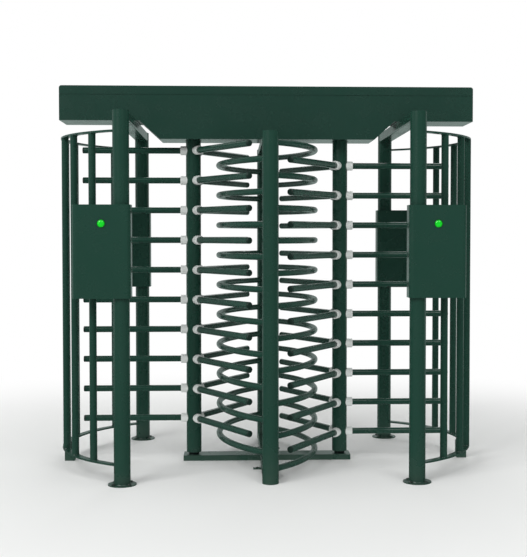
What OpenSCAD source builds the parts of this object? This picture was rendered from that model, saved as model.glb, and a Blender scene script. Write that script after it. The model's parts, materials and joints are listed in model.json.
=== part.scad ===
// Twin full-height turnstile: two vertical rotors side by side under one drive
// housing. Each rotor has three wings of horizontal arms that sweep between the
// fixed hoops of the centre frame and inside a curved cage of upright bars.
// X runs across both lanes, -Y is the entry side, Z is up, and Z = 0 is the floor.
// The origin is on the floor, midway between the two rotors. Millimetres.

/* [Overall] */
// Height from the floor to the top of the housing lid
total_h = 2300; // [2250:5:2400]

/* [Frame tubes] */
// Diameter of the round posts
post_d = 93; // [88:1:98]
// Width of the rails between the posts
rail_w = 86; // [70:1:87]
// Outside corner radius of the rails
tube_corner_r = 8; // [4:1:12]
// Height of the depth-wise rail on top of each side frame
side_rail_h = 55; // [40:1:80]
// Height of the depth-wise rail on top of the centre frame
centre_rail_h = 32; // [26:1:40]
// Diameter of the base flanges
flange_d = 160; // [150:1:170]
// Thickness of the base flanges
flange_t = 6; // [5:1:12]
// Diameter of the anchor holes in the base flanges
flange_hole_d = 13; // [10:1:14]
// Width of the cross beam on the floor
floor_beam_w = 130; // [110:1:140]
// Height of the cross beam and of the centre floor rail
floor_beam_h = 34; // [28:1:40]
// How far the cross beam runs on past each rotor's axis
floor_beam_past = 63; // [56:1:80]

/* [Anchor lugs] */
// How far each lug reaches out from the centre floor rail
lug_reach = 48; // [40:1:60]
// Width of a lug along the rail
lug_w = 36; // [30:1:50]
// Thickness of a lug
lug_t = 6; // [4:1:10]
// Distance of the lugs from the mid plane
lug_y = 308; // [200:1:400]
// Diameter of the anchor hole in a lug
lug_hole_d = 11; // [9:1:14]

/* [Drive housing] */
// How far the housing's ends lie beyond the circle of cage bars
housing_past = 17; // [10:1:30]
// Depth of the housing
housing_depth = 296; // [250:1:310]
// Height of the housing over the side frames
housing_side_h = 209.5; // [200:0.5:220]
// How far the middle of the housing hangs below its sides
housing_drop = 111; // [100:1:120]
// Gap from the side rails to the drop's upper ends
drop_gap = 14; // [6:1:30]
// Run of the drop's slanting ends across the lanes
drop_run = 122; // [100:1:140]
// Radius of the two upper end corners
housing_corner_r = 15; // [10:1:40]
// Height of the lid's skirt
lid_h = 52; // [30:1:70]
// Sheet thickness of the lid's skirt, which lies flush with the housing
lid_wall = 3; // [2:0.5:4]
// Seam left open under the lid's skirt
lid_seam = 2; // [1:0.5:4]
// Sheet thickness on top of the lid
lid_t = 4; // [2:1:6]
// Gap round the top of each column where it enters the housing
pocket_gap = 6; // [5:0.5:10]
// Depth of that opening
pocket_depth = 46; // [40:1:60]

/* [Rotors] */
// Diameter of the rotor columns
column_d = 92; // [86:1:96]
// Gap from the floor beam to the lower end of a column
column_lift = 14; // [11:1:20]
// Length of a column inside the housing
column_in_housing = 34; // [25:1:38]
// Diameter of the journal on top of a column
journal_d = 40; // [30:1:50]
// Length of that journal
journal_l = 45; // [30:1:60]
// Diameter of the arms
arm_d = 38; // [30:1:40]
// Number of arms in a wing
arm_count = 10; // [6:1:10]
// Wings on a rotor
wing_count = 3; // [3:1:3]
// Outside diameter of the collars at the arms' roots
collar_d = 56; // [50:1:64]
// How far a collar stands out from the column
collar_l = 34; // [20:1:40]
// Length of the caps on the arms' tips
cap_l = 12; // [6:1:20]

/* [Running clearances] */
// Gap from the arms' tips to the cage bars
tip_gap = 81; // [40:0.5:100]
// Gap from the arms' tips to the hoops of the other lane
hoop_gap = 51; // [20:0.5:70]
// Gap from the hoops to the rotor's column
column_gap = 94.5; // [80:0.5:110]
// Gap from the top arms to the centre rail
head_gap = 8.5; // [6:0.5:20]

/* [Hoops] */
// Height of the lowest hoop's centre line
first_level = 77; // [74:0.5:80]
// Diameter of the hoop tubes
hoop_d = 36; // [30:1:38]

/* [Cages] */
// Radius of the circle of bars about the rotor's axis
cage_r = 784.5; // [775:0.5:795]
// Angle of the side posts on that circle from the line through both rotors
post_angle = 61.35; // [60:0.05:62]
// Diameter of the cage bars
cage_bar_d = 42; // [34:1:44]
// Angle from one cage bar to the next
cage_bar_step = 15.1; // [14:0.1:15.4]
// Bars in each cage
cage_bar_count = 7; // [5:2:7]
// Width of the cage rings
ring_w = 40; // [36:1:50]
// Thickness of the cage rings
ring_t = 10; // [6:1:12]
// Height of the underside of the lower ring
lower_ring_z = 103.5; // [100:0.5:140]
// Distance from the underside of the housing's sides down to the upper ring
upper_ring_drop = 106; // [80:1:140]
// Width of the square foot under the lower ring
cage_foot_w = 62; // [50:1:70]
// Distance from the cage circle in to the centre of that foot
cage_foot_in = 16; // [10:1:18]

/* [Control boxes] */
// Width of a control box
box_w = 323; // [290:1:340]
// Height of a control box
box_h = 520; // [450:1:550]
// Depth of a control box, which wraps its post
box_depth = 124; // [110:1:130]
// Height of the underside of a control box
box_z = 1047; // [900:1:1100]
// How far a box reaches past the inner side of its post
box_overhang = 11; // [4:1:16]
// Radius of a box's upright edges
box_edge_r = 25; // [4:1:30]
// Diameter of the indicator lamps
lamp_d = 45; // [30:1:60]
// Height of the lamps' centres over the box's underside
lamp_up = 415; // [300:1:430]
// How far the lamps stand out
lamp_out = 12; // [6:1:20]

/* [Fits] */
// Radial clearance of the column's bearings
bearing_fit = 0.05; // [0.02:0.01:0.1]
// Clearance inside the lid's skirt
lid_fit = 0.5; // [0.3:0.1:1]
// Radial clearance of a collar round its arm
collar_fit = 0.1; // [0.05:0.05:0.3]

/* [Hidden] */
$fn = 48;

eps = 0.5;
wing_step = 360 / wing_count;

// The arms' reach, the two axes and the hoops' bulge follow from the gaps that
// the turning arms keep to the cage, the hoops and the columns.
arm_reach = cage_r - cage_bar_d / 2 - tip_gap;
rotor_x = (arm_reach + hoop_gap + hoop_d + column_gap + column_d / 2) / 2;
hoop_bulge = arm_reach + hoop_gap + hoop_d / 2 - rotor_x;
side_post_x = rotor_x + cage_r * cos(post_angle);
post_y = cage_r * sin(post_angle);

// A hoop is an arc through its bulge that aims at the axes of its two posts.
hoop_r = (hoop_bulge * hoop_bulge + post_y * post_y) / (2 * hoop_bulge);
hoop_half_angle = asin(post_y / hoop_r);

housing_z = total_h - housing_side_h;
drop_z = housing_z - housing_drop;
housing_l = 2 * (rotor_x + cage_r + housing_past);
drop_top_l = 2 * (side_post_x - rail_w / 2 - drop_gap);
drop_flat_l = drop_top_l - 2 * drop_run;
lid_z = total_h - lid_h;
shoulder_z = lid_z - lid_seam;
inner_corner_r = housing_corner_r - lid_wall;
lid_inset = lid_wall + lid_fit;
pocket_d = column_d + 2 * pocket_gap;

upper_ring_z = housing_z - upper_ring_drop;
flange_pcd = (flange_d + post_d) / 2;
floor_beam_l = 2 * (rotor_x + floor_beam_past);
column_z = floor_beam_h + column_lift;
column_top = drop_z + column_in_housing;
foot_collar_d = 64;
foot_collar_h = column_lift - 5;
foot_pin_d = 30;
foot_pin_l = 60;
box_centre_x = side_post_x - post_d / 2 - box_overhang + box_w / 2;
cap_round = 3;

// The top arms pass just under the centre rail, and the levels below share the height.
top_level = drop_z - centre_rail_h - head_gap - arm_d / 2;
level_step = (top_level - first_level) / (2 * arm_count);

// Sides of a full circle on the large arcs
arc_fn = 240;

green = [0.14, 0.27, 0.22];
fascia_green = [0.15, 0.25, 0.215];
collar_grey = [0.82, 0.84, 0.83];
cap_green = [0.06, 0.11, 0.09];
lamp_green = [0.1, 0.85, 0.2];
bearing_steel = [0.25, 0.26, 0.27];

// Height of level k. Right hoops take 0, 2 ... 20, left hoops and the right
// rotor's arms take 1, 3 ... 19, and the left rotor's arms take 2, 4 ... 20.
function level(k) = first_level + level_step * k;
function left_arm_level(i) = level(2 * i + 2);
function right_arm_level(i) = level(2 * i + 1);

// ---- shared shapes ----

module mirrored(side) {
    if (side > 0) children();
    else mirror([1, 0, 0]) children();
}

module rounded_rect(w, d, r) {
    square([w - 2 * r, d], center = true);
    square([w, d - 2 * r], center = true);
    for (x = [-1, 1], y = [-1, 1])
        translate([x * (w / 2 - r), y * (d / 2 - r)]) circle(r);
}

// The space that the front and rear posts of one frame take from height z upward.
module posts(x, z, h) {
    for (end = [-1, 1])
        translate([x, end * post_y, z]) cylinder(h = h, d = post_d);
}

// ---- portal frames ----

module side_post(side, end) {
    color(green)
    translate([side * side_post_x, end * post_y, flange_t])
        cylinder(h = housing_z - flange_t, d = post_d);
}

module base_flanges(side) {
    color(green)
    for (end = [-1, 1])
        translate([side * side_post_x, end * post_y, 0])
            difference() {
                cylinder(h = flange_t, d = flange_d);
                for (i = [0:3])
                    rotate(45 + 90 * i)
                        translate([flange_pcd / 2, 0, -eps])
                            cylinder(h = flange_t + 2 * eps, d = flange_hole_d);
            }
}

// A rail from post to post, coped to fit round them.
module depth_rail(x, z, h) {
    difference() {
        translate([x, 0, z])
            rotate([90, 0, 0])
                linear_extrude(2 * post_y, center = true)
                    translate([0, h / 2]) rounded_rect(rail_w, h, tube_corner_r);
        posts(x, z - eps, h + 2 * eps);
    }
}

module top_rail(side) {
    color(green) depth_rail(side * side_post_x, housing_z - side_rail_h, side_rail_h);
}

module centre_post(end) {
    color(green)
    translate([0, end * post_y, 0]) cylinder(h = drop_z, d = post_d);
}

module centre_top_rail() {
    color(green) depth_rail(0, drop_z - centre_rail_h, centre_rail_h);
}

// ---- floor pieces ----

module floor_beam() {
    color(green)
    translate([0, 0, floor_beam_h / 2])
        rotate([90, 0, 90])
            linear_extrude(floor_beam_l, center = true)
                rounded_rect(floor_beam_w, floor_beam_h, tube_corner_r / 2);
}

module centre_floor_rail() {
    run = post_y - floor_beam_w / 2;
    color(green)
    difference() {
        for (end = [-1, 1])
            translate([0, end * (floor_beam_w / 2 + run / 2), 0])
                rotate([90, 0, 0])
                    linear_extrude(run, center = true)
                        translate([0, floor_beam_h / 2])
                            rounded_rect(rail_w, floor_beam_h, tube_corner_r / 2);
        posts(0, -eps, floor_beam_h + 2 * eps);
    }
}

module anchor_lugs() {
    reach = rail_w / 2 + lug_reach / 2;
    color(green)
    for (side = [-1, 1], end = [-1, 1])
        translate([side * reach, end * lug_y, lug_t / 2])
            difference() {
                cube([lug_reach, lug_w, lug_t], center = true);
                cylinder(h = lug_t + 2 * eps, d = lug_hole_d, center = true);
            }
}

module foot_bearings() {
    color(bearing_steel)
    for (side = [-1, 1])
        translate([side * rotor_x, 0, floor_beam_h]) {
            cylinder(h = foot_collar_h, d = foot_collar_d);
            cylinder(h = foot_pin_l, d = foot_pin_d);
        }
}

// ---- hoops ----

// Right hoops bulge to +X, on an arc about a point beyond the left rotor's axis.
module hoop() {
    difference() {
        translate([hoop_bulge - hoop_r, 0, 0])
            rotate([0, 0, -hoop_half_angle])
                rotate_extrude(angle = 2 * hoop_half_angle, $fn = arc_fn)
                    translate([hoop_r, 0]) circle(d = hoop_d);
        posts(0, -hoop_d, 2 * hoop_d);
    }
}

module hoops(side) {
    first = side > 0 ? 0 : 1;
    color(green)
    mirrored(side)
        for (k = [first : 2 : 2 * arm_count])
            translate([0, 0, level(k)]) hoop();
}

// ---- drive housing ----

// An upright rectangle with rounded upper corners.
module crowned_rect(l, z0, z1, r) {
    translate([-l / 2, z0]) square([l, z1 - z0 - r]);
    translate([r - l / 2, z0]) square([l - 2 * r, z1 - z0]);
    for (side = [-1, 1])
        translate([side * (l / 2 - r), z1 - r]) circle(r);
}

module through_depth(depth) {
    rotate([90, 0, 0]) linear_extrude(depth, center = true) children();
}

module drive_housing() {
    color(fascia_green)
    difference() {
        union() {
            through_depth(housing_depth) {
                translate([-housing_l / 2, housing_z])
                    square([housing_l, shoulder_z - housing_z]);
                polygon([
                    [-drop_top_l / 2, housing_z + 1], [-drop_top_l / 2, housing_z],
                    [-drop_flat_l / 2, drop_z], [drop_flat_l / 2, drop_z],
                    [drop_top_l / 2, housing_z], [drop_top_l / 2, housing_z + 1]
                ]);
            }
            through_depth(housing_depth - 2 * lid_inset)
                crowned_rect(housing_l - 2 * lid_inset, shoulder_z - eps,
                             total_h - lid_t, inner_corner_r);
        }
        for (side = [-1, 1])
            translate([side * rotor_x, 0, drop_z - eps]) {
                cylinder(h = pocket_depth + eps, d = pocket_d);
                cylinder(h = pocket_depth + journal_l + eps, r = journal_d / 2 + bearing_fit);
            }
    }
}

module housing_lid() {
    color(fascia_green)
    difference() {
        through_depth(housing_depth)
            crowned_rect(housing_l, lid_z, total_h, housing_corner_r);
        through_depth(housing_depth - 2 * lid_wall)
            crowned_rect(housing_l - 2 * lid_wall, lid_z - eps, total_h - lid_t, inner_corner_r);
    }
}

// ---- cages ----

// The plan of everything that a cage ring stops against.
module ring_stop() {
    translate([side_post_x - 4 * cage_r, -2 * cage_r]) square([4 * cage_r, 4 * cage_r]);
    for (end = [-1, 1])
        translate([side_post_x, end * post_y]) circle(d = post_d);
}

module cage_ring(side, z) {
    color(green)
    mirrored(side)
        translate([0, 0, z])
            difference() {
                translate([rotor_x, 0, 0])
                    difference() {
                        cylinder(h = ring_t, r = cage_r + ring_w / 2, $fn = arc_fn);
                        translate([0, 0, -eps])
                            cylinder(h = ring_t + 2 * eps, r = cage_r - ring_w / 2, $fn = arc_fn);
                    }
                translate([0, 0, -eps]) linear_extrude(ring_t + 2 * eps) ring_stop();
            }
}

module cage_bars(side) {
    low = lower_ring_z + ring_t;
    last = (cage_bar_count - 1) / 2;
    color(green)
    mirrored(side)
        translate([rotor_x, 0, low])
            for (i = [-last : last])
                rotate(i * cage_bar_step)
                    translate([cage_r, 0, 0])
                        cylinder(h = upper_ring_z - ring_t - low, d = cage_bar_d);
}

module cage_foot(side) {
    color(green)
    translate([side * (rotor_x + cage_r - cage_foot_in), 0, 0])
        linear_extrude(lower_ring_z)
            rounded_rect(cage_foot_w, cage_foot_w, tube_corner_r);
}

// ---- control boxes ----

// A box closed round its post, which runs on through it.
module control_box(side, end) {
    color(green)
    difference() {
        translate([side * box_centre_x, end * post_y, box_z])
            linear_extrude(box_h) rounded_rect(box_w, box_depth, box_edge_r);
        posts(side * side_post_x, box_z - eps, box_h + 2 * eps);
    }
}

module indicator_lamps() {
    rim_h = lamp_out / 3;
    dome_h = lamp_out - rim_h;
    dome_r = (dome_h * dome_h + lamp_d * lamp_d / 4) / (2 * dome_h);
    color(lamp_green)
    for (side = [-1, 1], end = [-1, 1])
        translate([side * box_centre_x, end * (post_y + box_depth / 2), box_z + lamp_up])
            rotate([-90 * end, 0, 0]) {
                cylinder(h = rim_h, d = lamp_d);
                intersection() {
                    translate([0, 0, lamp_out - dome_r]) sphere(dome_r);
                    translate([0, 0, rim_h / 2]) cylinder(h = lamp_out, d = lamp_d);
                }
            }
}

// ---- rotors ----

module column(side) {
    color(green)
    translate([side * rotor_x, 0, 0])
        difference() {
            union() {
                translate([0, 0, column_z]) cylinder(h = column_top - column_z, d = column_d);
                translate([0, 0, column_top - eps]) cylinder(h = journal_l + eps, d = journal_d);
            }
            translate([0, 0, column_z - eps])
                cylinder(h = foot_pin_l, r = foot_pin_d / 2 + bearing_fit);
        }
}

// Places its children along +X from the rotor's axis, at every arm level of one wing.
module at_wing(side, wing) {
    mirrored(side)
        translate([rotor_x, 0, 0])
            rotate(wing * wing_step)
                for (i = [0 : arm_count - 1])
                    translate([0, 0, side > 0 ? right_arm_level(i) : left_arm_level(i)])
                        children();
}

module outside_column() {
    difference() {
        children();
        cylinder(h = 2 * collar_d, d = column_d, center = true);
    }
}

module wing(side, wing) {
    color(green)
    at_wing(side, wing)
        outside_column()
            rotate([0, 90, 0])
                translate([0, 0, column_d / 4])
                    cylinder(h = arm_reach - cap_l - column_d / 4, d = arm_d);
}

module collars(side) {
    color(collar_grey)
    for (w = [0 : wing_count - 1])
        at_wing(side, w)
            outside_column()
                rotate([0, 90, 0])
                    difference() {
                        cylinder(h = column_d / 2 + collar_l, d = collar_d);
                        translate([0, 0, -eps])
                            cylinder(h = column_d + collar_l, d = arm_d + 2 * collar_fit);
                    }
}

module arm_caps(side) {
    color(cap_green)
    for (w = [0 : wing_count - 1])
        at_wing(side, w)
            translate([arm_reach - cap_l, 0, 0])
                rotate([0, 90, 0])
                    rotate_extrude() {
                        square([arm_d / 2, cap_l - cap_round]);
                        square([arm_d / 2 - cap_round, cap_l]);
                        translate([arm_d / 2 - cap_round, cap_l - cap_round])
                            intersection() {
                                circle(cap_round);
                                square(cap_round);
                            }
                    }
}

side_post(-1, -1);  // left_front_post
side_post(-1, 1);  // left_rear_post
side_post(1, -1);  // right_front_post
side_post(1, 1);  // right_rear_post
base_flanges(-1);  // left_base_flanges
base_flanges(1);  // right_base_flanges
top_rail(-1);  // left_top_rail
top_rail(1);  // right_top_rail
centre_post(-1);  // centre_front_post
centre_post(1);  // centre_rear_post
centre_top_rail();
centre_floor_rail();
anchor_lugs();
floor_beam();
foot_bearings();
hoops(-1);  // left_hoops
hoops(1);  // right_hoops
drive_housing();
housing_lid();
cage_ring(-1, upper_ring_z - ring_t);  // left_cage_upper_ring
cage_ring(-1, lower_ring_z);  // left_cage_lower_ring
cage_bars(-1);  // left_cage_bars
cage_foot(-1);  // left_cage_foot
cage_ring(1, upper_ring_z - ring_t);  // right_cage_upper_ring
cage_ring(1, lower_ring_z);  // right_cage_lower_ring
cage_bars(1);  // right_cage_bars
cage_foot(1);  // right_cage_foot
control_box(-1, -1);  // left_front_box
control_box(-1, 1);  // left_rear_box
control_box(1, -1);  // right_front_box
control_box(1, 1);  // right_rear_box
indicator_lamps();
column(-1);  // left_column
wing(-1, 0);  // left_side_wing
wing(-1, 2);  // left_front_wing
wing(-1, 1);  // left_rear_wing
collars(-1);  // left_collars
arm_caps(-1);  // left_arm_caps
column(1);  // right_column
wing(1, 0);  // right_side_wing
wing(1, 2);  // right_front_wing
wing(1, 1);  // right_rear_wing
collars(1);  // right_collars
arm_caps(1);  // right_arm_caps
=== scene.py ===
"""Paint, fittings and studio for a twin full-height turnstile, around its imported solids.

The solids stay as they are and get painted materials. The fittings that dress them are
surfaces worked out here: weld beads, floor anchors, collars, arm caps, lamps and seals.
"""

import json
import math

import bmesh
import bpy
import numpy as np
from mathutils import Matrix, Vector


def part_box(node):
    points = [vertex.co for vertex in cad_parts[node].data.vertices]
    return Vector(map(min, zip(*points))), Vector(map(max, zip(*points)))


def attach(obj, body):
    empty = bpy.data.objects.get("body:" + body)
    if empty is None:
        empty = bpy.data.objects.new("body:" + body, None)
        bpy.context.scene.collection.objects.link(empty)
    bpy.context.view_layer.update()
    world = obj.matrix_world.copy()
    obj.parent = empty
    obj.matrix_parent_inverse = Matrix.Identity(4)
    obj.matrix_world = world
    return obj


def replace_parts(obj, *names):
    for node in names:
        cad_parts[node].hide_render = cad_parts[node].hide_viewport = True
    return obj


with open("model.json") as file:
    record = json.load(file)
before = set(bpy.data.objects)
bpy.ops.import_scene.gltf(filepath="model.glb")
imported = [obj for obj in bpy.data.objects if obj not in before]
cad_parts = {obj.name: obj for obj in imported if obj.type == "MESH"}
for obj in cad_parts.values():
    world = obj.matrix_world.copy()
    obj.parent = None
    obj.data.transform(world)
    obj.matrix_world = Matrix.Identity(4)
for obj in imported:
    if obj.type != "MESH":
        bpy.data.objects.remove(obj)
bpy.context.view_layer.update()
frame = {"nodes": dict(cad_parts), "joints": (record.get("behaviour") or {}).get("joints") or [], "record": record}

bl_info = {
    "name": "Turnstile finish",
    "version": (1, 0, 0),
    "blender": (4, 5, 0),
    "location": "3D View > Sidebar > Turnstile",
    "description": "Paints a packed twin turnstile and adds its welds, anchors and fittings",
    "category": "Object",
}

RECORD = frame["record"]
MOUNTS = {m["name"]: m for m in RECORD["mounts"]}
SIDES = (("left", -1), ("right", 1))
ENDS = (("front", -1), ("rear", 1))

PAINTED = {
    "post paint": [
        "left_front_post", "right_front_post", "left_rear_post", "right_rear_post",
        "centre_front_post", "centre_rear_post", "left_top_rail", "right_top_rail",
        "centre_top_rail", "left_base_flanges", "right_base_flanges",
    ],
    "floor paint": [
        "centre_floor_rail", "anchor_lugs", "floor_beam", "left_cage_foot", "right_cage_foot",
    ],
    "hoop paint": ["left_hoops", "right_hoops"],
    "cage paint": [
        "left_cage_upper_ring", "left_cage_lower_ring", "left_cage_bars",
        "right_cage_upper_ring", "right_cage_lower_ring", "right_cage_bars",
    ],
    "rotor paint": [
        "left_column", "left_side_wing", "left_front_wing", "left_rear_wing",
        "right_column", "right_side_wing", "right_front_wing", "right_rear_wing",
    ],
    "housing paint": ["drive_housing", "housing_lid"],
    "box paint": ["left_front_box", "left_rear_box", "right_front_box", "right_rear_box"],
    "bearing steel": ["foot_bearings"],
}

# Reading the frame's meshes: points this near count as on a surface, and levels, lamps, bars
# or wings farther apart than these gaps (metres, metres, radians, radians) are separate ones.
ON_SURFACE = 1e-4
LEVEL_GAP = 0.02
LAMP_GAP = 0.2
BAR_GAP = 0.05
WING_GAP = 0.3

# Edges sharper than this stay sharp on the fittings.
SHARP_ANGLE = math.radians(35)
# A weld bead swells and shrinks by this share, and the cage's beads have this share of the
# others' size. The top rails' beads turn their corners with this radius.
BEAD_SWELL = 0.12
CAGE_BEAD_SHARE = 0.8
RAIL_CORNER = 0.008

# Peel: the grain of the orange peel, by finish. Dust: how much settles near the floor.
PEEL_SCALE = {"housing paint": 190.0, "box paint": 210.0, "other": 260.0}
DUST_AMOUNT = {"floor paint": 0.12, "post paint": 0.1, "other": 0.08}
DUST_COLOUR = (0.23, 0.22, 0.19, 1.0)
ZINC_COLOUR = (0.10, 0.12, 0.11, 1.0)
STEEL_COLOUR = (0.05, 0.055, 0.06, 1.0)

# Soft lights: name, place, aim, side of the square and power.
LIGHTS = (
    ("key light", (-9.9, -11.9, 11.5), (0.0, 0.0, 1.1), 9.5, 1800.0),
    ("fill light", (6.6, -13.2, 12.6), (0.0, 0.0, 1.1), 8.5, 690.0),
    ("back light", (1.2, 10.0, 9.7), (0.0, 0.0, 1.2), 7.2, 280.0),
)
# The floor's half side, where it fades into the backdrop, and its own bounce of light.
FLOOR_HALF = 30.0
FLOOR_FADE = (1.6, 4.5)
FLOOR_BOUNCE = 1.2
# What gloss mirrors: a dim room in front that brightens towards the back, on the floor
# (from and to these distances in Y) and in the world (from and to these leans backward).
FLOOR_ROOM = {"From Min": -1.0, "From Max": 4.0, "To Min": 0.065, "To Max": 0.46}
WORLD_ROOM = {"From Min": -0.55, "From Max": 0.75, "To Min": 0.055, "To Max": 0.355}
ROOM_LEAN = (-0.25, 0.97, 0.0)
FLOOR_ROOM_COLOUR = (0.80, 1.0, 0.93, 1.0)
WORLD_ROOM_COLOUR = (0.84, 1.0, 0.95, 1.0)
WHITE = (1.0, 1.0, 1.0, 1.0)
AMBIENT = 0.58


# ---- measuring the frame ----


def corners(node):
    """The lowest and highest corner of a node, as two arrays in metres."""
    low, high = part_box(node)
    return np.array(low), np.array(high)


def width_of(node, axis):
    low, high = corners(node)
    return high[axis] - low[axis]


def joint_axis(name):
    """The upright axis of a rotor's joint, as its x and y."""
    for joint in frame["joints"]:
        if joint["name"] == name:
            return np.array(joint["pos_m"][:2])
    raise ValueError("no joint named " + name)


# ---- surfaces from arrays ----


def swept_grid(grid, wrap_u=False, wrap_v=False):
    """Quads over a grid of points: each point (u, v) joins its next neighbours along u and v."""
    nu, nv = grid.shape[:2]
    u = np.arange(nu if wrap_u else nu - 1)
    v = np.arange(nv if wrap_v else nv - 1)
    uu, vv = np.meshgrid(u, v, indexing="ij")
    u1, v1 = (uu + 1) % nu, (vv + 1) % nv
    faces = np.stack([uu * nv + vv, u1 * nv + vv, u1 * nv + v1, uu * nv + v1], -1)
    return grid.reshape(-1, 3), faces.reshape(-1, 4).tolist()


def lathe(radii, heights, segments=32, shape=None):
    """A profile (radius, height) turned about Z, closed at both ends by a flat or a pole.

    Point (i, j) is (r cos t, r sin t, h), with r the i-th radius times shape(t) where a
    shape is given, h the i-th height and t the j-th share of a full turn.
    """
    r, h = np.array(radii, float), np.array(heights, float)
    t = np.arange(segments) * 2 * math.pi / segments
    stretch = np.ones_like(t) if shape is None else shape(t)
    rr = r[:, None] * stretch[None, :]
    grid = np.stack([rr * np.cos(t), rr * np.sin(t), np.repeat(h[:, None], segments, 1)], -1)
    verts, faces = swept_grid(grid, wrap_v=True)
    faces = [f[::-1] for f in faces]
    last = (len(r) - 1) * segments
    faces.append(list(range(segments))[::-1])
    faces.append([last + j for j in range(segments)])
    return verts, faces


def ring_lathe(radii, heights, segments=48, shape=None, shaped=0):
    """A closed profile (radius, height) turned about Z into a ring with no end faces.

    The first radii, as many as shaped says, are stretched by shape(t).
    """
    r, h = np.array(radii, float), np.array(heights, float)
    t = np.arange(segments) * 2 * math.pi / segments
    rr = np.repeat(r[:, None], segments, 1)
    if shaped:
        rr[:shaped] *= shape(t)
    grid = np.stack([rr * np.cos(t), rr * np.sin(t), np.repeat(h[:, None], segments, 1)], -1)
    return swept_grid(grid, wrap_u=True, wrap_v=True)


def bead_along(path, normals, size, ripples):
    """A weld bead: a small circle carried round a closed path, swelling in even ripples.

    Point (i, j) is the i-th path point plus size (1 + swell cos(ripples s)) times
    (cos a out + sin a up), with s the share of the way round, a the share of the circle,
    up the surface normal and out the direction across the path in that surface.
    """
    n = len(path)
    along = np.roll(path, -1, 0) - np.roll(path, 1, 0)
    along /= np.linalg.norm(along, axis=1, keepdims=True)
    out = np.cross(along, normals)
    s = np.arange(n) * 2 * math.pi / n
    a = np.arange(8) * 2 * math.pi / 8
    swell = size * (1 + BEAD_SWELL * np.cos(ripples * s))
    across, up = np.cos(a)[None, :, None], np.sin(a)[None, :, None]
    ring = out[:, None, :] * across + normals[:, None, :] * up
    grid = path[:, None, :] + swell[:, None, None] * ring
    return swept_grid(grid, wrap_u=True, wrap_v=True)


def turned(verts, axis, origin=(0, 0, 0)):
    """Points whose Z is laid along axis, then moved to origin."""
    z = np.array(axis, float)
    z /= np.linalg.norm(z)
    x = np.cross([0.0, 1.0, 0.0] if abs(z[1]) < 0.9 else [1.0, 0.0, 0.0], z)
    x /= np.linalg.norm(x)
    return verts @ np.array([x, np.cross(z, x), z]) + np.array(origin)


def joined(parts):
    """Many (points, faces) pairs as one."""
    points, faces, first = [], [], 0
    for verts, polys in parts:
        points.append(verts)
        faces += [[first + k for k in p] for p in polys]
        first += len(verts)
    return np.concatenate(points), faces


def make_piece(name, parts, material, body):
    """A smooth mesh from (points, faces) pairs, with faces turned outwards, riding on a body."""
    points, faces = joined(parts)
    mesh = bpy.data.meshes.new(name)
    mesh.from_pydata(points.tolist(), [], faces)
    mesh.update()
    mesh.materials.append(material)
    piece = bpy.data.objects.new(name, mesh)
    bpy.context.scene.collection.objects.link(piece)
    outward(mesh)
    mesh.shade_smooth()
    mesh.set_sharp_from_angle(angle=SHARP_ANGLE)
    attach(piece, body)
    return piece


def outward(mesh):
    """Turns every closed shell's faces outwards."""
    work = bmesh.new()
    work.from_mesh(mesh)
    bmesh.ops.recalc_face_normals(work, faces=work.faces)
    work.to_mesh(mesh)
    work.free()


# ---- materials ----


def new_tree(material):
    material.use_nodes = True
    tree = material.node_tree
    tree.nodes.clear()
    out = tree.nodes.new("ShaderNodeOutputMaterial")
    bsdf = tree.nodes.new("ShaderNodeBsdfPrincipled")
    tree.links.new(bsdf.outputs["BSDF"], out.inputs["Surface"])
    return tree, bsdf


def group_socket(group, name, in_out, kind, default=None, low=None, high=None):
    socket = group.interface.new_socket(name=name, in_out=in_out, socket_type=kind)
    if default is not None:
        socket.default_value = default
    if low is not None:
        socket.min_value = low
    if high is not None:
        socket.max_value = high
    return socket


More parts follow.
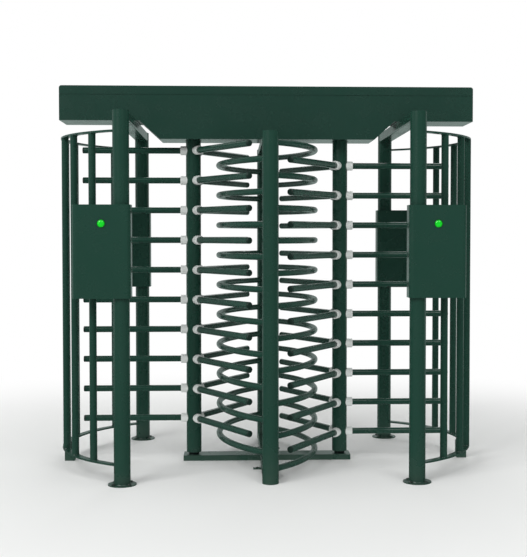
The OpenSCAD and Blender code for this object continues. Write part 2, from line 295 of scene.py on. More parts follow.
def powder_coat_group():
    """Powder-coated steel: a slow change of tone, orange peel, and dust that settles low down.

    Outputs: Tone and Dust are masks from 0 to 1, Roughness and Height vary over the surface.
    """
    name = "Powder coat"
    if name in bpy.data.node_groups:
        return bpy.data.node_groups[name]
    group = bpy.data.node_groups.new(name, "ShaderNodeTree")
    group_socket(group, "Peel Scale", "INPUT", "NodeSocketFloat", 260.0, 1.0, 2000.0)
    group_socket(group, "Base Roughness", "INPUT", "NodeSocketFloat", 0.25, 0.0, 1.0)
    group_socket(group, "Dust Height", "INPUT", "NodeSocketFloat", 0.25, 0.0, 3.0)
    group_socket(group, "Dust Amount", "INPUT", "NodeSocketFloat", 0.3, 0.0, 1.0)
    group_socket(group, "Tone", "OUTPUT", "NodeSocketFloat")
    group_socket(group, "Dust", "OUTPUT", "NodeSocketFloat")
    group_socket(group, "Roughness", "OUTPUT", "NodeSocketFloat")
    group_socket(group, "Height", "OUTPUT", "NodeSocketFloat")
    nodes, links = group.nodes, group.links
    source = nodes.new("NodeGroupInput")
    sink = nodes.new("NodeGroupOutput")
    place = nodes.new("ShaderNodeTexCoord")

    def noise(scale, detail, rough=0.5):
        node = nodes.new("ShaderNodeTexNoise")
        node.inputs["Scale"].default_value = scale
        node.inputs["Detail"].default_value = detail
        node.inputs["Roughness"].default_value = rough
        links.new(place.outputs["Object"], node.inputs["Vector"])
        return node

    def maths(operation, a, b=None, c=None):
        node = nodes.new("ShaderNodeMath")
        node.operation = operation
        for index, value in enumerate((a, b, c)):
            if value is None:
                continue
            if isinstance(value, bpy.types.NodeSocket):
                links.new(value, node.inputs[index])
            else:
                node.inputs[index].default_value = value
        return node.outputs[0]

    def spread(value, low, high, to_low, to_high):
        node = nodes.new("ShaderNodeMapRange")
        links.new(value, node.inputs["Value"])
        ends = {"From Min": low, "From Max": high, "To Min": to_low, "To Max": to_high}
        for key, number in ends.items():
            if isinstance(number, bpy.types.NodeSocket):
                links.new(number, node.inputs[key])
            else:
                node.inputs[key].default_value = number
        return node.outputs["Result"]

    cloud = noise(2.3, 3.0)
    streak = noise(9.0, 4.0, 0.6)
    peel = noise(260.0, 1.0)
    links.new(source.outputs["Peel Scale"], peel.inputs["Scale"])
    speck = noise(700.0, 2.0, 0.7)

    tone = spread(cloud.outputs["Fac"], 0.3, 0.7, 0.0, 1.0)
    links.new(tone, sink.inputs["Tone"])

    split = nodes.new("ShaderNodeSeparateXYZ")
    links.new(place.outputs["Object"], split.inputs["Vector"])
    low_down = spread(split.outputs["Z"], 0.0, source.outputs["Dust Height"], 1.0, 0.0)
    patchy = spread(streak.outputs["Fac"], 0.35, 0.75, 0.25, 1.0)
    grit = spread(speck.outputs["Fac"], 0.35, 0.65, 0.6, 1.0)
    dust = maths("MULTIPLY", maths("MULTIPLY", maths("POWER", low_down, 1.8), patchy), grit)
    dust = maths("MULTIPLY", dust, source.outputs["Dust Amount"])
    links.new(dust, sink.inputs["Dust"])

    wander = spread(streak.outputs["Fac"], 0.3, 0.7, -0.025, 0.035)
    rough = maths("ADD", source.outputs["Base Roughness"], wander)
    rough = maths("MULTIPLY_ADD", dust, 0.5, rough)
    links.new(rough, sink.inputs["Roughness"])

    height = maths("MULTIPLY_ADD", speck.outputs["Fac"], 0.12, peel.outputs["Fac"])
    links.new(height, sink.inputs["Height"])
    return group


def mixed_colour(tree, fac, first, second):
    """A colour that goes from first to second with fac. Each may be a colour or a socket."""
    node = tree.nodes.new("ShaderNodeMix")
    node.data_type = "RGBA"
    tree.links.new(fac, node.inputs["Factor"])
    for index, value in ((6, first), (7, second)):
        if isinstance(value, bpy.types.NodeSocket):
            tree.links.new(value, node.inputs[index])
        else:
            node.inputs[index].default_value = value
    return node.outputs[2]


def bumped(tree, bsdf, height, distance):
    bump = tree.nodes.new("ShaderNodeBump")
    bump.inputs["Distance"].default_value = distance
    bump.inputs["Strength"].default_value = 1.0
    tree.links.new(height, bump.inputs["Height"])
    tree.links.new(bump.outputs["Normal"], bsdf.inputs["Normal"])


def shade(colour, factor):
    return tuple(min(1.0, c * factor) for c in colour[:3]) + (1.0,)


def coated_paint(name, colour, roughness, peel, dust_height, dust_amount):
    """Gloss powder coat over steel, in one colour."""
    material = bpy.data.materials.new(name)
    tree, bsdf = new_tree(material)
    coat = tree.nodes.new("ShaderNodeGroup")
    coat.node_tree = powder_coat_group()
    coat.inputs["Peel Scale"].default_value = peel
    coat.inputs["Base Roughness"].default_value = roughness
    coat.inputs["Dust Height"].default_value = dust_height
    coat.inputs["Dust Amount"].default_value = dust_amount
    toned = mixed_colour(tree, coat.outputs["Tone"], shade(colour, 0.975), shade(colour, 1.03))
    dusty = mixed_colour(tree, coat.outputs["Dust"], toned, DUST_COLOUR)
    tree.links.new(dusty, bsdf.inputs["Base Color"])
    tree.links.new(coat.outputs["Roughness"], bsdf.inputs["Roughness"])
    bsdf.inputs["IOR"].default_value = 1.5
    bsdf.inputs["Coat Weight"].default_value = 0.35
    bsdf.inputs["Coat Roughness"].default_value = 0.1
    bumped(tree, bsdf, coat.outputs["Height"], 0.00002)
    return material


def paint_material(name):
    """The painted finish of a named part of the turnstile."""
    if name in bpy.data.materials:
        return bpy.data.materials[name]
    kit = bpy.context.scene.turnstile_paint
    colour = kit.housing_colour if name == "housing paint" else kit.frame_colour
    peel = PEEL_SCALE.get(name, PEEL_SCALE["other"])
    dust = DUST_AMOUNT.get(name, DUST_AMOUNT["other"])
    return coated_paint(name, colour, kit.gloss_roughness, peel, kit.dust_height, dust)


def steel_material(name="bearing steel", colour=STEEL_COLOUR, roughness=0.38):
    """Turned steel: patches of tarnish, with a roughness that wanders with them."""
    if name in bpy.data.materials:
        return bpy.data.materials[name]
    material = bpy.data.materials.new(name)
    tree, bsdf = new_tree(material)
    place = tree.nodes.new("ShaderNodeTexCoord")
    noise = tree.nodes.new("ShaderNodeTexNoise")
    noise.inputs["Scale"].default_value = 90.0
    noise.inputs["Detail"].default_value = 3.0
    tree.links.new(place.outputs["Object"], noise.inputs["Vector"])
    tarnish = mixed_colour(tree, noise.outputs["Fac"], shade(colour, 0.75), shade(colour, 1.35))
    tree.links.new(tarnish, bsdf.inputs["Base Color"])
    bsdf.inputs["Metallic"].default_value = 1.0
    spread = tree.nodes.new("ShaderNodeMapRange")
    spread.inputs["To Min"].default_value = roughness - 0.08
    spread.inputs["To Max"].default_value = roughness + 0.12
    tree.links.new(noise.outputs["Fac"], spread.inputs["Value"])
    tree.links.new(spread.outputs["Result"], bsdf.inputs["Roughness"])
    bumped(tree, bsdf, noise.outputs["Fac"], 0.00008)
    return material


def zinc_material():
    """Zinc-plated steel for the floor anchors."""
    return steel_material("dark zinc plate", ZINC_COLOUR, 0.42)


def plastic_material(name, colour, roughness, grime):
    """Moulded plastic with a fine grain and a little grime."""
    if name in bpy.data.materials:
        return bpy.data.materials[name]
    material = bpy.data.materials.new(name)
    tree, bsdf = new_tree(material)
    place = tree.nodes.new("ShaderNodeTexCoord")
    cloud = tree.nodes.new("ShaderNodeTexNoise")
    cloud.inputs["Scale"].default_value = 38.0
    cloud.inputs["Detail"].default_value = 4.0
    grain = tree.nodes.new("ShaderNodeTexNoise")
    grain.inputs["Scale"].default_value = 1500.0
    for node in (cloud, grain):
        tree.links.new(place.outputs["Object"], node.inputs["Vector"])
    dark, light = shade(colour, 1.0 - grime), shade(colour, 1.0 + grime / 2)
    tone = mixed_colour(tree, cloud.outputs["Fac"], dark, light)
    tree.links.new(tone, bsdf.inputs["Base Color"])
    spread = tree.nodes.new("ShaderNodeMapRange")
    spread.inputs["To Min"].default_value = max(0.05, roughness - 0.1)
    spread.inputs["To Max"].default_value = roughness + 0.1
    tree.links.new(cloud.outputs["Fac"], spread.inputs["Value"])
    tree.links.new(spread.outputs["Result"], bsdf.inputs["Roughness"])
    bumped(tree, bsdf, grain.outputs["Fac"], 0.00003)
    return material


def lens_material():
    """The lit lens: bright green over a fine pattern of moulded cells."""
    if "lamp lens" in bpy.data.materials:
        return bpy.data.materials["lamp lens"]
    kit = bpy.context.scene.turnstile_paint
    material = bpy.data.materials.new("lamp lens")
    tree, bsdf = new_tree(material)
    place = tree.nodes.new("ShaderNodeTexCoord")
    cells = tree.nodes.new("ShaderNodeTexVoronoi")
    cells.inputs["Scale"].default_value = 260.0
    tree.links.new(place.outputs["Object"], cells.inputs["Vector"])
    light, dark = shade(kit.lamp_colour, 1.1), shade(kit.lamp_colour, 0.85)
    tone = mixed_colour(tree, cells.outputs["Distance"], light, dark)
    tree.links.new(tone, bsdf.inputs["Base Color"])
    tree.links.new(tone, bsdf.inputs["Emission Color"])
    bsdf.inputs["Emission Strength"].default_value = kit.lamp_strength
    bsdf.inputs["Roughness"].default_value = 0.12
    bumped(tree, bsdf, cells.outputs["Distance"], 0.0003)
    return material


# ---- reading places from the frame ----


def node_points(node):
    """A node's corner points as an array (n, 3)."""
    mesh = frame["nodes"][node].data
    flat = np.empty(len(mesh.vertices) * 3)
    mesh.vertices.foreach_get("co", flat)
    return flat.reshape(-1, 3)


def runs(values, gap):
    """Index arrays of the runs of values that lie closer together than gap."""
    order = np.argsort(values)
    breaks = np.where(np.diff(values[order]) > gap)[0] + 1
    return np.split(order, breaks)


def wing_places(side_name):
    """The heights and the directions of a rotor's arms, read from its arm caps."""
    axis = joint_axis(side_name + "_rotor_spin")
    points = node_points(side_name + "_arm_caps")
    levels = runs(points[:, 2], LEVEL_GAP)
    heights = [np.ptp(points[run, 2]) / 2 + points[run, 2].min() for run in levels]
    turn = np.arctan2(points[:, 1] - axis[1], points[:, 0] - axis[0])
    start = math.radians(30)  # keeps a wing that points along X in one run
    turn = (turn + start) % (2 * math.pi)
    directions = [(turn[run].min() + turn[run].max()) / 2 - start for run in runs(turn, WING_GAP)]
    return axis, heights, directions


def on_every_arm(shape, axis, heights, directions):
    """Copies of a shape about Z, one laid along each arm of a rotor from its axis."""
    for height in heights:
        for turn in directions:
            way = (math.cos(turn), math.sin(turn), 0.0)
            yield turned(shape[0], way, (axis[0], axis[1], height)), shape[1]


def post_circle(post):
    """The plan centre and the radius of an upright post."""
    low, high = corners(post)
    return (low[:2] + high[:2]) / 2, (high[0] - low[0]) / 2


def hoop_feet(node, post):
    """Each hoop's end on a round post: its direction from the post, its height and its radius."""
    centre, radius = post_circle(post)
    points = node_points(node)
    reach = np.hypot(points[:, 0] - centre[0], points[:, 1] - centre[1])
    points = points[np.abs(reach - radius) < 2 * ON_SURFACE]
    for run in runs(points[:, 2], LEVEL_GAP):
        low, high = points[run].min(0), points[run].max(0)
        way = (low[:2] + high[:2]) / 2 - centre
        yield way / np.linalg.norm(way), (low[2] + high[2]) / 2, (high[2] - low[2]) / 2


def bar_feet(node, axis, height):
    """The centre of each cage bar at one height, and the bars' radius."""
    points = node_points(node)
    points = points[np.abs(points[:, 2] - height) < ON_SURFACE]
    side = 1 if axis[0] > 0 else -1
    turn = np.arctan2(points[:, 1] - axis[1], (points[:, 0] - axis[0]) * side)
    for run in runs(turn, BAR_GAP):
        low, high = points[run].min(0), points[run].max(0)
        yield (low + high) / 2, (high[0] - low[0]) / 2


def round_bead(centre, radius, way, size, count=40, within=None):
    """A weld bead on a level circle, centre + radius (cos s, sin s), that faces up or down.

    Where within gives an upright axis and a radius, points farther out are drawn back to it.
    """
    s = np.arange(count) * 2 * math.pi / count
    path = centre + radius * np.column_stack([np.cos(s), np.sin(s), np.zeros(count)])
    if within is not None:
        away = path[:, :2] - within[0]
        share = np.minimum(1.0, within[1] / np.linalg.norm(away, axis=1))
        path[:, :2] = within[0] + away * share[:, None]
    return bead_along(path, np.tile([0.0, 0.0, way], (count, 1)), size, count // 2)


def post_bead(post, way, outline, size):
    """A weld bead where a straight piece meets a round post.

    The piece runs off along way, with outline its section as (across, height). A point of the
    bead lies on the post: centre + way sqrt(R^2 - across^2) + side across, at that height.
    """
    centre, radius = post_circle(post)
    side = np.array([-way[1], way[0]])
    across = outline[:, 0]
    plan = np.outer(np.sqrt(radius * radius - across * across), way) + np.outer(across, side)
    path = np.column_stack([plan + centre, outline[:, 1]])
    normals = np.column_stack([plan / radius, np.zeros(len(plan))])
    return bead_along(path, normals, size, len(path) // 3)


def rounded_path(half_w, half_h, r, step=6):
    """A rounded rectangle's outline: four quarter circles of radius r, joined by its sides."""
    t = np.linspace(0, math.pi / 2, step)
    x, y = half_w - r, half_h - r
    arcs = []
    for k, (cx, cy) in enumerate(((x, y), (-x, y), (-x, -y), (x, -y))):
        turn = t + k * math.pi / 2
        arcs.append(np.stack([cx + r * np.cos(turn), cy + r * np.sin(turn)], -1))
    bends = np.concatenate(arcs)
    spacing = 0.008
    pieces = []
    for here, there in zip(bends, np.roll(bends, -1, 0)):
        count = max(1, int(np.linalg.norm(there - here) / spacing))
        share = np.linspace(0, 1, count, endpoint=False)[:, None]
        pieces.append(here + share * (there - here))
    return np.concatenate(pieces)


# ---- settings ----


def colour_setting(name, description, colour):
    return bpy.props.FloatVectorProperty(
        name=name, description=description, subtype="COLOR", size=4, min=0.0, max=1.0,
        default=colour,
    )


def length_setting(name, description, value, low, high):
    return bpy.props.FloatProperty(
        name=name, description=description, unit="LENGTH", default=value, min=low, max=high,
    )


class TurnstilePaint(bpy.types.PropertyGroup):
    frame_colour: colour_setting(
        "Frame colour", "Powder coat on tubes, bars, arms and boxes", (0.0088, 0.0435, 0.0290, 1.0),
    )
    housing_colour: colour_setting(
        "Housing colour", "Powder coat on the drive housing and its lid",
        (0.0095, 0.0400, 0.0280, 1.0),
    )
    collar_colour: colour_setting(
        "Collar colour", "Light plastic collars at the arms' roots", (0.62, 0.65, 0.63, 1.0),
    )
    cap_colour: colour_setting(
        "Cap colour", "Dark plastic caps on the arms' tips", (0.007, 0.027, 0.019, 1.0),
    )
    rubber_colour: colour_setting(
        "Rubber colour", "Seals round the columns", (0.012, 0.012, 0.012, 1.0),
    )
    lamp_colour: colour_setting(
        "Lamp colour", "Lit lens of the indicator lamps", (0.006, 0.52, 0.018, 1.0),
    )
    lamp_strength: bpy.props.FloatProperty(
        name="Lamp strength", description="How brightly the lens glows",
        default=0.12, min=0.0, max=10.0,
    )
    gloss_roughness: bpy.props.FloatProperty(
        name="Paint roughness", description="Roughness of the powder coat",
        subtype="FACTOR", default=0.26, min=0.0, max=1.0,
    )
    dust_height: length_setting(
        "Dust height", "How far up from the floor dust settles", 0.3, 0.0, 1.0,
    )


class TurnstileFittings(bpy.types.PropertyGroup):
    weld_size: length_setting(
        "Weld size", "Radius of a weld bead", 0.0032, 0.001, 0.01,
    )
    bolt_width: length_setting(
        "Bolt width", "Width across the button heads of the floor anchors", 0.021, 0.01, 0.03,
    )
    bolt_height: length_setting(
        "Bolt height", "Height of those heads", 0.0055, 0.003, 0.01,
    )
    lug_bolt_share: bpy.props.FloatProperty(
        name="Lug bolts",
        description="Size of the bolts in the centre lugs, as a share of the others",
        subtype="FACTOR", default=0.7, min=0.4, max=1.0,
    )
    collar_round: length_setting(
        "Collar rounding", "Radius of the collars' outer edge", 0.005, 0.001, 0.01,
    )
    cap_crown: length_setting(
        "Cap crown", "How far the arm caps' rounding reaches back from their tip",
        0.006, 0.001, 0.01,
    )
    lamp_rim: length_setting(
        "Lamp rim", "Width of the rim round a lamp's lens", 0.0025, 0.001, 0.01,
    )


class TurnstileStudio(bpy.types.PropertyGroup):
    lens: bpy.props.FloatProperty(
        name="Lens", description="Focal length on a 36 mm wide sensor",
        default=74.139, min=20.0, max=200.0,
    )
    camera_place: bpy.props.FloatVectorProperty(
        name="Camera place", description="Where the camera stands",
        subtype="TRANSLATION", unit="LENGTH", default=(-0.1965, -6.7601, 1.4023),
    )
    camera_pan: bpy.props.FloatProperty(
        name="Camera pan", description="How far the camera turns to the right of straight ahead",
        subtype="ANGLE", default=math.radians(2.3334),
    )
    camera_tilt: bpy.props.FloatProperty(
        name="Camera tilt", description="How far the camera looks down",
        subtype="ANGLE", default=math.radians(1.8985),
    )
    lens_shift: bpy.props.FloatVectorProperty(
        name="Lens shift",
        description="Shift of the lens sideways and upward, as shares of the picture's width",
        size=2, default=(-0.0304, -0.0155), min=-0.2, max=0.2,
    )
    floor_colour: colour_setting(
        "Floor colour", "Pale studio floor", (0.86, 0.87, 0.86, 1.0),
    )


# ---- operators ----


class TURNSTILE_OT_paint(bpy.types.Operator):
    """Gives every solid its painted or steel material"""

    bl_idname = "turnstile.paint"
    bl_label = "Paint the solids"

    def execute(self, context):
        for finish, nodes in PAINTED.items():
            material = steel_material() if finish == "bearing steel" else paint_material(finish)
            for node in nodes:
                slots = frame["nodes"][node].data.materials
                slots.clear()
                slots.append(material)
        return {"FINISHED"}


class TURNSTILE_OT_welds(bpy.types.Operator):
    """Runs weld beads round the hoops' ends, the cage bars' ends, the rails and the posts' feet"""

    bl_idname = "turnstile.welds"
    bl_label = "Add the welds"

    def execute(self, context):
        size = context.scene.turnstile_fittings.weld_size
        paint = paint_material("post paint")
        s = np.arange(40) * 2 * math.pi / 40
        for side_name, _ in SIDES:
            beads = []
            for end_name, _ in ENDS:
                post = "centre_" + end_name + "_post"
                for way, height, radius in hoop_feet(side_name + "_hoops", post):
                    outline = np.column_stack([radius * np.cos(s), height + radius * np.sin(s)])
                    beads.append(post_bead(post, way, outline, size))
            make_piece(side_name + "_hoop_welds", beads, paint, "frame")
            beads = self.cage_beads(side_name, size * CAGE_BEAD_SHARE)
            make_piece(side_name + "_cage_welds", beads, paint, "frame")
        make_piece("rail_welds", self.rail_beads(size), paint, "frame")
        make_piece("post_foot_welds", self.foot_beads(size), paint, "frame")
        return {"FINISHED"}

    def cage_beads(self, side_name, size):
        """Beads round the bars' ends, drawn in so that none passes the outermost bar."""
        node = side_name + "_cage_bars"
        axis = joint_axis(side_name + "_rotor_spin")
        low, high = corners(node)
        reach = max(high[0] - axis[0], axis[0] - low[0]) - (1 + BEAD_SWELL) * size
        beads = []
        for height, way in ((low[2], 1.0), (high[2], -1.0)):
            for centre, radius in bar_feet(node, axis, height):
                beads.append(round_bead(centre, radius, way, size, within=(axis, reach)))
        return beads

    def rail_beads(self, size):
        beads = []
        for place in ("left", "right", "centre"):
            low, high = corners(place + "_top_rail")
            outline = rounded_path((high[0] - low[0]) / 2, (high[2] - low[2]) / 2, RAIL_CORNER)
            outline[:, 1] += (low[2] + high[2]) / 2
            for end_name, end in ENDS:
                post = place + "_" + end_name + "_post"
                beads.append(post_bead(post, np.array([0.0, -end]), outline, size))
        return beads

    def foot_beads(self, size):
        beads = []
        for side_name, _ in SIDES:
            for end_name, _ in ENDS:
                post = side_name + "_" + end_name + "_post"
                centre, radius = post_circle(post)
                foot = np.array([centre[0], centre[1], corners(post)[0][2]])
                beads.append(round_bead(foot, radius, 1.0, size, 96))
        return beads


class TURNSTILE_OT_anchors(bpy.types.Operator):
    """Sets a button-headed bolt on its washer in every anchor hole"""

    bl_idname = "turnstile.anchors"
    bl_label = "Add the floor anchors"

    def execute(self, context):
        kit = context.scene.turnstile_fittings
        anchors = []
        for mount in MOUNTS.values():
            if mount["kind"] != "bolt_pattern":
                continue
            share = 1.0 if "pcd_mm" in mount["dims"] else kit.lug_bolt_share
            bolt = self.anchor(kit.bolt_width * share, kit.bolt_height * share)
            for place in self.hole_places(mount):
                anchors += [(turned(v, (0, 0, 1), place), f) for v, f in bolt]
        make_piece("floor_anchors", anchors, zinc_material(), "frame")
        return {"FINISHED"}

    def hole_places(self, mount):
        centre = np.array(mount["pos_m"])
        dims = mount["dims"]
        if "pcd_mm" in dims:
            turn = (np.arange(dims["count"]) + 0.5) * 2 * math.pi / dims["count"]
            reach = dims["pcd_mm"] / 2000
            return [centre + [reach * math.cos(t), reach * math.sin(t), 0] for t in turn]
        half = dims["spacing_x_mm"] / 2000
        return [centre - [half, 0, 0], centre + [half, 0, 0]]

    def anchor(self, width, tall):
        """A washer under a button head: a quarter ellipse down from a hexagonal socket, whose
        walls are stretched by 1 / cos of the angle from the nearest flat."""

        def hexagon(t):
            return 1 / np.cos((t % (math.pi / 3)) - math.pi / 6)

        radius = width / 2
        base = 0.0016
        bevel, edge = radius * 1.14, radius * 1.18
        washer = lathe([bevel, edge, edge, bevel], [0.0, 0.0003, 0.0013, base], 32)
        socket = width * 0.17
        floor = base + tall * 0.35
        t = np.linspace(math.pi / 2, 0, 8)
        dome = socket * 1.3 + (radius - socket * 1.3) * np.cos(t)
        rise = base + tall * (0.22 + 0.78 * np.sin(t))
        radii = [socket, socket, socket * 1.12] + list(dome) + [radius * 0.97]
        heights = [base, base + tall * 0.96, base + tall] + list(rise) + [base]
        head = ring_lathe(radii, heights, 48, hexagon, 3)
        plug = lathe([socket * 1.05, socket * 1.05], [base, floor], 48, hexagon)
        return [washer, head, plug]


class TURNSTILE_OT_collars(bpy.types.Operator):
    """Replaces the plain collars by moulded ones with a rounded lip and a groove"""

    bl_idname = "turnstile.collars"
    bl_label = "Mould the collars"

    def execute(self, context):
        kit = context.scene.turnstile_fittings
        colour = context.scene.turnstile_paint.collar_colour
        plastic = plastic_material("collar plastic", colour, 0.35, 0.07)
        for side_name, side in SIDES:
            node = side_name + "_collars"
            axis, heights, directions = wing_places(side_name)
            low, high = corners(node)
            column = width_of(side_name + "_column", 0) / 2
            outer = high[2] - heights[-1]
            inner = width_of(side_name + "_side_wing", 1) / 2
            reach = (high[0] - axis[0]) if side > 0 else (axis[0] - low[0])
            root = math.sqrt(column * column - outer * outer)
            shell = self.profile(inner, outer, root, reach, kit.collar_round)
            ring = ring_lathe(shell[:, 0], shell[:, 1], 40)
            parts = on_every_arm(ring, axis, heights, directions)
            name, body = side_name + "_moulded_collars", side_name + "_rotor"
            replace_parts(make_piece(name, parts, plastic, body), node)
        return {"FINISHED"}

    def profile(self, inner, outer, root, reach, lip):
        """A sleeve's section: straight inside, grooved near the root, a quarter circle at the lip."""
        t = np.linspace(0, math.pi / 2, 6)
        mouth = np.stack([outer - lip + lip * np.cos(t), reach - lip + lip * np.sin(t)], -1)
        middle = root + (reach - root) * 0.62
        half, depth = 0.0016, 0.0011
        groove = np.array([
            [outer, root], [outer, middle - half], [outer - depth, middle - half / 2],
            [outer - depth, middle + half / 2], [outer, middle + half],
        ])
        wall, bevel = inner + 0.0001, 0.0016
        bore = np.array([[inner + 0.0018, reach], [wall, reach - bevel], [wall, root]])
        return np.concatenate([groove, mouth, bore])


class TURNSTILE_OT_arm_caps(bpy.types.Operator):
    """Replaces the plain arm caps by crowned plugs with a shadow groove against the tube"""

    bl_idname = "turnstile.arm_caps"
    bl_label = "Cap the arms"

    def execute(self, context):
        kit = context.scene.turnstile_fittings
        colour = context.scene.turnstile_paint.cap_colour
        plastic = plastic_material("cap plastic", colour, 0.42, 0.15)
        for side_name, side in SIDES:
            axis, heights, directions = wing_places(side_name)
            caps_low, caps_high = corners(side_name + "_arm_caps")
            wing_low, wing_high = corners(side_name + "_side_wing")
            tip = (caps_high[0] - axis[0]) if side > 0 else (axis[0] - caps_low[0])
            tube_end = (wing_high[0] - axis[0]) if side > 0 else (axis[0] - wing_low[0])
            radius = width_of(side_name + "_side_wing", 1) / 2
            plug = self.plug(radius, tube_end, tip, kit.cap_crown)
            parts = on_every_arm(plug, axis, heights, directions)
            name, body = side_name + "_crowned_caps", side_name + "_rotor"
            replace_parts(make_piece(name, parts, plastic, body), side_name + "_arm_caps")
        return {"FINISHED"}

    def plug(self, radius, start, tip, crown):
        """A turned plug: a narrow neck, a full band, a quarter ellipse to a slightly domed face."""
        t = np.linspace(0, math.pi / 2, 7)
        band = tip - crown
        radii = [radius * 0.9, radius * 0.9, radius * 0.985, radius]
        heights = [start, start + 0.0012, start + 0.0018, start + 0.003]
        radii += list(radius * (0.62 + 0.38 * np.cos(t)))
        heights += list(band + (crown - 0.0008) * np.sin(t))
        radii += [radius * 0.35, radius * 0.08]
        heights += [tip - 0.0003, tip]
        return lathe(radii, heights, 32)


class TURNSTILE_OT_lamps(bpy.types.Operator):
    """Replaces the lamps by a rim and a lit, domed lens"""

    bl_idname = "turnstile.lamps"
    bl_label = "Light the indicator lamps"

    def execute(self, context):
        kit = context.scene.turnstile_fittings
        paint = context.scene.turnstile_paint
        points = node_points("indicator_lamps")
        low, high = points.min(0), points.max(0)
        radius = (high[2] - low[2]) / 2
        height = (high[2] + low[2]) / 2
        face = corners("left_front_box")[0][1]
        stand = face - low[1]
        rims, lenses = [], []
        for x_run in runs(points[:, 0], LAMP_GAP):
            x = (points[x_run, 0].min() + points[x_run, 0].max()) / 2
            for _, end in ENDS:
                place = (x, end * abs(face), height)
                rim = self.rim(radius, stand, kit.lamp_rim)
                lens = self.lens(radius - kit.lamp_rim, stand)
                rims.append((turned(rim[0], (0, end, 0), place), rim[1]))
                lenses.append((turned(lens[0], (0, end, 0), place), lens[1]))
        rim_plastic = plastic_material("lamp rim plastic", shade(paint.lamp_colour, 0.25), 0.3, 0.1)
        rim_piece = make_piece("lamp_rims", rims, rim_plastic, "frame")
        lens_piece = make_piece("lamp_lenses", lenses, lens_material(), "frame")
        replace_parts(rim_piece, "indicator_lamps")
        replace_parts(lens_piece, "indicator_lamps")
        return {"FINISHED"}

    def rim(self, radius, stand, width):
        """A low turned ring with a rounded top."""
        tall = stand * 0.42
        t = np.linspace(0, math.pi, 7)
        radii = [radius - width] + [radius] + list(radius - width / 2 + width / 2 * np.cos(t))
        heights = [0.0, 0.0] + list(tall - width / 2 + width / 2 * np.sin(t))
        return ring_lathe(radii, heights, 48)

    def lens(self, radius, stand):
        """A dome: radius r cos t against height, with shallow rings moulded in it.

        It stands a hair inside its rim.
        """
        t = np.linspace(0, math.pi / 2, 22)[:-1]
        ripple = 1 + 0.004 * np.cos(t * 40)
        radii = [radius] + list(radius * np.cos(t) * ripple)
        heights = [0.0] + list(stand * (0.25 + 0.74 * np.sin(t)))
        return lathe([r * 0.999 for r in radii], heights, 48)


class TURNSTILE_OT_seals(bpy.types.Operator):
    """Adds the lip seals round the columns' upper ends"""

    bl_idname = "turnstile.seals"
    bl_label = "Add the column seals"

    def execute(self, context):
        colour = context.scene.turnstile_paint.rubber_colour
        rubber = plastic_material("seal rubber", colour, 0.6, 0.2)
        housing_low = corners("drive_housing")[0][2]
        lips = []
        for side_name, _ in SIDES:
            axis = joint_axis(side_name + "_rotor_spin")
            column = width_of(side_name + "_column", 0) / 2
            lip = ring_lathe(
                [column + 0.0022, column + 0.0058, column + 0.0058, column + 0.004],
                [0.0008, 0.0008, 0.008, 0.008],
            )
            lips.append((turned(lip[0], (0, 0, 1), (axis[0], axis[1], housing_low)), lip[1]))
        make_piece("head_seals", lips, rubber, "frame")
        return {"FINISHED"}


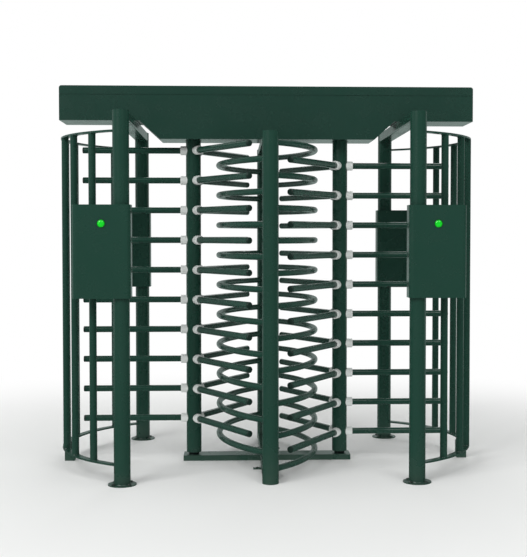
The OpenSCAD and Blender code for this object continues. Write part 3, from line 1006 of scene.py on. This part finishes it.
class TURNSTILE_OT_stage(bpy.types.Operator):
    """Sets up the floor, the soft lights, the white surroundings and the camera"""

    bl_idname = "turnstile.stage"
    bl_label = "Set the stage"

    def execute(self, context):
        kit = context.scene.turnstile_studio
        self.floor(kit.floor_colour)
        self.world(context.scene)
        for light in LIGHTS:
            self.lamp(*light)
        self.camera(context.scene, kit)
        context.scene.view_settings.view_transform = "Standard"
        return {"FINISHED"}

    def floor(self, colour):
        """A pale floor that keeps the shadows near the object and fades into the backdrop beyond.

        To the camera it is a matt floor. It gives the object an even bounce of light, and gloss
        mirrors it as part of the dim room.
        """
        size = FLOOR_HALF
        square = [(-size, -size, 0), (size, -size, 0), (size, size, 0), (-size, size, 0)]
        mesh = bpy.data.meshes.new("floor")
        mesh.from_pydata(square, [], [(0, 1, 2, 3)])
        plane = bpy.data.objects.new("floor", mesh)
        bpy.context.scene.collection.objects.link(plane)
        material = bpy.data.materials.new("pale floor")
        material.cycles.emission_sampling = "NONE"
        tree, bsdf = new_tree(material)
        place = tree.nodes.new("ShaderNodeTexCoord")
        noise = tree.nodes.new("ShaderNodeTexNoise")
        noise.inputs["Scale"].default_value = 0.6
        tree.links.new(place.outputs["Object"], noise.inputs["Vector"])
        tone = mixed_colour(tree, noise.outputs["Fac"], shade(colour, 0.985), shade(colour, 1.0))
        tree.links.new(tone, bsdf.inputs["Base Color"])
        bsdf.inputs["Roughness"].default_value = 0.9
        bsdf.inputs["Specular IOR Level"].default_value = 0.1
        away = tree.nodes.new("ShaderNodeVectorMath")
        away.operation = "LENGTH"
        tree.links.new(place.outputs["Object"], away.inputs[0])
        fade = tree.nodes.new("ShaderNodeMapRange")
        fade.interpolation_type = "SMOOTHSTEP"
        for key, value in zip(("From Min", "From Max"), FLOOR_FADE):
            fade.inputs[key].default_value = value
        tree.links.new(away.outputs["Value"], fade.inputs["Value"])
        path = tree.nodes.new("ShaderNodeLightPath")
        seen = self.product(tree, fade.outputs["Result"], path.outputs["Is Camera Ray"])
        split = tree.nodes.new("ShaderNodeSeparateXYZ")
        tree.links.new(place.outputs["Object"], split.inputs["Vector"])
        room = tree.nodes.new("ShaderNodeMapRange")
        room.interpolation_type = "SMOOTHSTEP"
        for key, value in FLOOR_ROOM.items():
            room.inputs[key].default_value = value
        tree.links.new(split.outputs["Y"], room.inputs["Value"])
        even, dim, white = [tree.nodes.new("ShaderNodeEmission") for _ in range(3)]
        even.inputs["Strength"].default_value = FLOOR_BOUNCE
        dim.inputs["Color"].default_value = FLOOR_ROOM_COLOUR
        tree.links.new(room.outputs["Result"], dim.inputs["Strength"])
        surface = bsdf.outputs["BSDF"]
        for amount, glow in (
            (path.outputs["Is Diffuse Ray"], even),
            (path.outputs["Is Glossy Ray"], dim),
            (seen, white),
        ):
            mix = tree.nodes.new("ShaderNodeMixShader")
            tree.links.new(amount, mix.inputs["Fac"])
            tree.links.new(surface, mix.inputs[1])
            tree.links.new(glow.outputs["Emission"], mix.inputs[2])
            surface = mix.outputs["Shader"]
        tree.links.new(surface, tree.nodes["Material Output"].inputs["Surface"])
        mesh.materials.append(material)

    def product(self, tree, first, second):
        node = tree.nodes.new("ShaderNodeMath")
        node.operation = "MULTIPLY"
        tree.links.new(first, node.inputs[0])
        tree.links.new(second, node.inputs[1])
        return node.outputs[0]

    def world(self, scene):
        """White to the camera and a dim room to gloss, with plain light from all round."""
        world = bpy.data.worlds.new("white studio")
        scene.world = world
        world.use_nodes = True
        tree = world.node_tree
        tree.nodes.clear()
        out = tree.nodes.new("ShaderNodeOutputWorld")
        lit = tree.nodes.new("ShaderNodeBackground")
        lit.inputs["Strength"].default_value = AMBIENT
        place = tree.nodes.new("ShaderNodeTexCoord")
        lean = tree.nodes.new("ShaderNodeVectorMath")
        lean.operation = "DOT_PRODUCT"
        lean.inputs[1].default_value = ROOM_LEAN
        tree.links.new(place.outputs["Generated"], lean.inputs[0])
        room = tree.nodes.new("ShaderNodeMapRange")
        room.interpolation_type = "SMOOTHSTEP"
        for key, value in WORLD_ROOM.items():
            room.inputs[key].default_value = value
        tree.links.new(lean.outputs["Value"], room.inputs["Value"])
        mirrored = tree.nodes.new("ShaderNodeBackground")
        tree.links.new(room.outputs["Result"], mirrored.inputs["Strength"])
        backdrop = tree.nodes.new("ShaderNodeBackground")
        for node, colour in ((lit, WHITE), (mirrored, WORLD_ROOM_COLOUR), (backdrop, WHITE)):
            node.inputs["Color"].default_value = colour
        path = tree.nodes.new("ShaderNodeLightPath")
        shiny = tree.nodes.new("ShaderNodeMath")
        shiny.operation = "MAXIMUM"
        tree.links.new(path.outputs["Is Glossy Ray"], shiny.inputs[0])
        tree.links.new(path.outputs["Is Transmission Ray"], shiny.inputs[1])
        first, last = tree.nodes.new("ShaderNodeMixShader"), tree.nodes.new("ShaderNodeMixShader")
        tree.links.new(shiny.outputs[0], first.inputs["Fac"])
        tree.links.new(lit.outputs["Background"], first.inputs[1])
        tree.links.new(mirrored.outputs["Background"], first.inputs[2])
        tree.links.new(path.outputs["Is Camera Ray"], last.inputs["Fac"])
        tree.links.new(first.outputs["Shader"], last.inputs[1])
        tree.links.new(backdrop.outputs["Background"], last.inputs[2])
        tree.links.new(last.outputs["Shader"], out.inputs["Surface"])

    def lamp(self, name, place, aim, size, power):
        data = bpy.data.lights.new(name, "AREA")
        data.shape = "SQUARE"
        data.size = size
        data.energy = power
        light = bpy.data.objects.new(name, data)
        way = np.array(aim) - np.array(place)
        level = math.hypot(way[0], way[1])
        light.location = place
        light.rotation_euler = (math.atan2(level, -way[2]), 0.0, math.atan2(-way[0], way[1]))
        bpy.context.scene.collection.objects.link(light)

    def camera(self, scene, kit):
        data = bpy.data.cameras.new("camera")
        data.sensor_fit = "HORIZONTAL"
        data.sensor_width = 36.0
        data.lens = kit.lens
        data.shift_x, data.shift_y = kit.lens_shift
        data.clip_end = 200.0
        camera = bpy.data.objects.new("camera", data)
        camera.rotation_mode = "XYZ"
        camera.location = kit.camera_place
        camera.rotation_euler = (math.pi / 2 - kit.camera_tilt, 0.0, -kit.camera_pan)
        scene.collection.objects.link(camera)
        scene.camera = camera


# ---- panel and registration ----


class TURNSTILE_PT_finish(bpy.types.Panel):
    """Lists the settings and the steps"""

    bl_idname = "TURNSTILE_PT_finish"
    bl_label = "Turnstile finish"
    bl_space_type = "VIEW_3D"
    bl_region_type = "UI"
    bl_category = "Turnstile"

    def draw(self, context):
        for title, group in (
            ("Paint", context.scene.turnstile_paint),
            ("Fittings", context.scene.turnstile_fittings),
            ("Studio", context.scene.turnstile_studio),
        ):
            box = self.layout.box()
            box.label(text=title)
            for key in group.__annotations__:
                box.prop(group, key)
        for step in STEPS:
            self.layout.operator(step.bl_idname)


STEPS = (
    TURNSTILE_OT_paint, TURNSTILE_OT_welds, TURNSTILE_OT_anchors, TURNSTILE_OT_collars,
    TURNSTILE_OT_arm_caps, TURNSTILE_OT_lamps, TURNSTILE_OT_seals, TURNSTILE_OT_stage,
)
GROUPS = (
    ("turnstile_paint", TurnstilePaint),
    ("turnstile_fittings", TurnstileFittings),
    ("turnstile_studio", TurnstileStudio),
)


def register():
    for name, group in GROUPS:
        bpy.utils.register_class(group)
        setattr(bpy.types.Scene, name, bpy.props.PointerProperty(type=group))
    for step in STEPS:
        bpy.utils.register_class(step)
    bpy.utils.register_class(TURNSTILE_PT_finish)


def unregister():
    bpy.utils.unregister_class(TURNSTILE_PT_finish)
    for step in reversed(STEPS):
        bpy.utils.unregister_class(step)
    for name, group in reversed(GROUPS):
        delattr(bpy.types.Scene, name)
        bpy.utils.unregister_class(group)


def main():
    register()
    bpy.ops.turnstile.paint()
    bpy.ops.turnstile.welds()
    bpy.ops.turnstile.anchors()
    bpy.ops.turnstile.collars()
    bpy.ops.turnstile.arm_caps()
    bpy.ops.turnstile.lamps()
    bpy.ops.turnstile.seals()
    bpy.ops.turnstile.stage()


if __name__ == "__main__":
    main()
